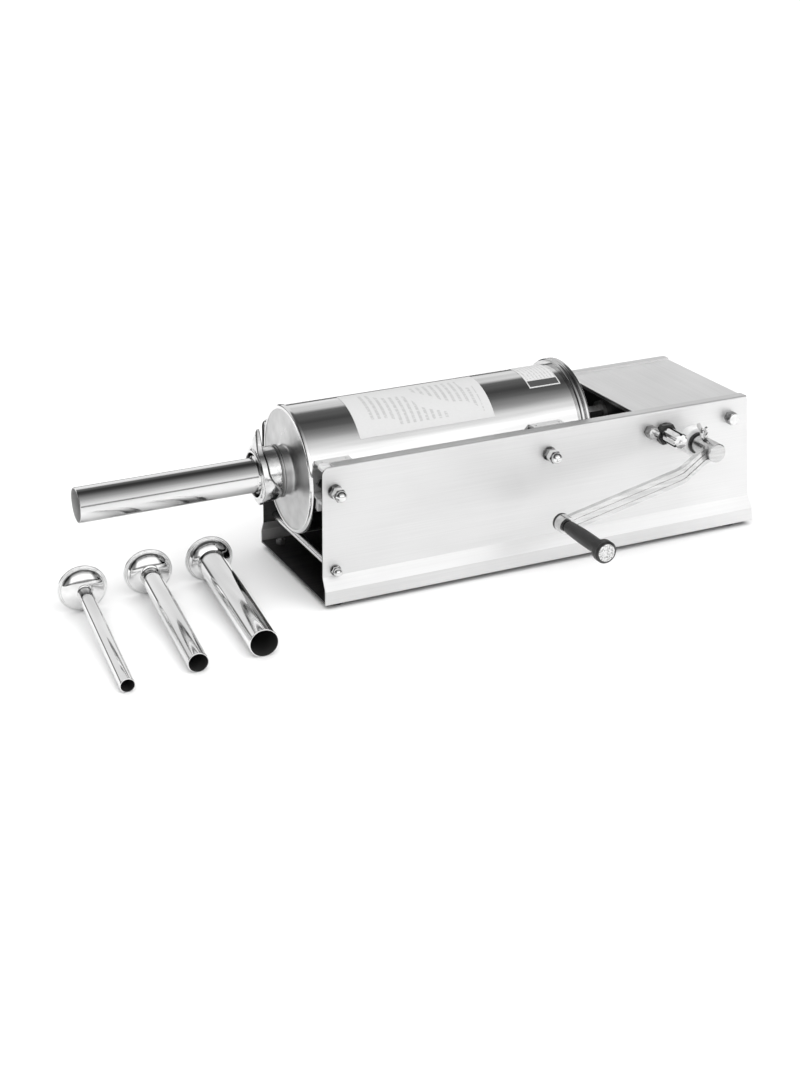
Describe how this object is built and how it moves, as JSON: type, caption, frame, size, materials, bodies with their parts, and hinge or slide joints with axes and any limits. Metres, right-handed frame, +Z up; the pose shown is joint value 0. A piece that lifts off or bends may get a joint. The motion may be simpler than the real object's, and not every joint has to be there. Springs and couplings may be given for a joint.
{
  "type": "sausage stuffer",
  "caption": "Horizontal hand-cranked sausage stuffer: steel cylinder in a folded frame, geared rack and piston, ring nut and interchangeable stuffing tubes.",
  "frame": {"origin": "on the table under the middle of the whole set, crank and loose tubes included", "axes": "+X from the outlet towards the gear case, +Z up, -Y towards the crank; the cylinder and the rack lie along X"},
  "size_m": [0.7936, 0.3522, 0.2035],
  "materials": {
    "sheet_steel": "finely brushed stainless sheet, satin",
    "cylinder_steel": "bright rolled stainless, near mirror",
    "polished_steel": "mirror-polished stainless",
    "chrome_fittings": "bright plated",
    "cast_chrome": "cast, satin plated",
    "gear_steel": "machined, lightly oiled",
    "piston_metal": "turned and satin",
    "white_plastic": "food-grade plastic, satin",
    "black_plastic": "moulded, satin",
    "black_rubber": "moulded rubber, matt"
  },
  "bodies": {
    "machine": {"side_plate_near": "sheet_steel", "side_plate_far": "sheet_steel", "base_plate": "sheet_steel", "top_cover": "sheet_steel", "gearbox_front_wall": "sheet_steel", "rear_wall": "sheet_steel", "near_bearing_plate": "sheet_steel", "far_bearing_plate": "sheet_steel", "rubber_feet": "black_rubber", "foot_bolts": "chrome_fittings", "front_bracket_near": "polished_steel", "front_bracket_far": "polished_steel", "rear_bracket_near": "polished_steel", "rear_bracket_far": "polished_steel", "bracket_bolts": "chrome_fittings", "bracket_acorn_nuts": "chrome_fittings", "bracket_washers": "chrome_fittings", "front_tie_rod": "chrome_fittings", "tie_rod_acorn_nuts": "chrome_fittings", "tie_rod_washers": "chrome_fittings", "gearbox_bolts": "chrome_fittings", "gearbox_nuts": "chrome_fittings", "gearbox_spacers": "chrome_fittings", "cylinder_barrel": "cylinder_steel", "cylinder_rear_rim": "cylinder_steel", "cylinder_front_cap": "cylinder_steel", "outlet_neck": "cast_chrome", "outlet_gasket": "white_plastic", "rack_front_bush": "white_plastic", "rack_rear_bush": "white_plastic", "rack_guide_block": "white_plastic", "crank_outer_bush": "white_plastic", "crank_inner_bush": "white_plastic", "crank_far_bush": "white_plastic", "slow_outer_bush": "black_plastic", "slow_inner_bush": "white_plastic"},
    "crank": {"crank_shaft": "gear_steel", "rack_pinion": "gear_steel", "large_gear": "gear_steel", "crank_retaining_ring": "gear_steel", "crank_hub": "chrome_fittings", "crank_seal_ring": "black_rubber", "crank_arm": "polished_steel", "arm_back_cap": "black_plastic", "grip_spindle": "gear_steel"},
    "grip": {"grip": "black_plastic", "grip_end_disc": "piston_metal"},
    "thumb_screw": {"thumb_screw": "chrome_fittings"},
    "slow_shaft": {"slow_shaft": "chrome_fittings", "small_gear": "gear_steel", "slow_retaining_ring": "gear_steel"},
    "piston": {"piston_disc": "piston_metal", "piston_seal": "white_plastic", "piston_bolt": "chrome_fittings", "rack_bar": "gear_steel"},
    "mounted_tube": {"stuffing_tube_mounted": "polished_steel"},
    "ring_nut": {"ring_nut": "cast_chrome"},
    "small_tube": {"stuffing_tube_small": "polished_steel"},
    "medium_tube": {"stuffing_tube_medium": "polished_steel"},
    "large_tube": {"stuffing_tube_large": "polished_steel"}
  },
  "joints": [
    {"name": "crank_turn", "type": "hinge", "parent": "machine", "child": "crank", "pos_m": [0.316, 0.07, 0.1165], "axis": [0, 1, 0], "range_deg": [0, 1919.4]},
    {"name": "piston_slide", "type": "slide", "parent": "machine", "child": "piston", "axis": [1, 0, 0], "range_m": [0, 0.335]},
    {"name": "slow_shaft_turn", "type": "hinge", "parent": "machine", "child": "slow_shaft", "pos_m": [0.2804, 0.07, 0.12979], "axis": [0, 1, 0], "range_deg": [-4159, 0]},
    {"name": "grip_spin", "type": "hinge", "parent": "crank", "child": "grip", "pos_m": [0.11661, -0.138, 0.07339], "axis": [0, 1, 0], "continuous": true},
    {"name": "thumb_screw_turn", "type": "hinge", "parent": "crank", "child": "thumb_screw", "pos_m": [0.316, -0.05, 0.1165], "axis": [-0.2113, 0, 0.9774], "range_deg": [0, 720]},
    {"name": "ring_nut_turn", "type": "hinge", "parent": "mounted_tube", "child": "ring_nut", "pos_m": [-0.167, 0.07, 0.128], "axis": [-1, 0, 0], "range_deg": [0, 2160]},
    {"name": "mounted_tube_slide", "type": "slide", "parent": "machine", "child": "mounted_tube", "axis": [-1, 0, 0], "range_m": [0, 0.018]},
    {"name": "small_tube_lift", "type": "slide", "parent": "machine", "child": "small_tube", "axis": [0, 0, 1], "range_m": [0, 0.035]},
    {"name": "medium_tube_lift", "type": "slide", "parent": "machine", "child": "medium_tube", "axis": [0, 0, 1], "range_m": [0, 0.035]},
    {"name": "large_tube_lift", "type": "slide", "parent": "machine", "child": "large_tube", "axis": [0, 0, 1], "range_m": [0, 0.035]}
  ],
  "couplings": [
    {"joint": "piston_slide", "follows": "crank_turn", "m_per_rad": 0.01},
    {"joint": "slow_shaft_turn", "follows": "crank_turn", "ratio": -2.1667},
    {"joint": "mounted_tube_slide", "follows": "ring_nut_turn", "m_per_rad": 0.00047746}
  ]
}
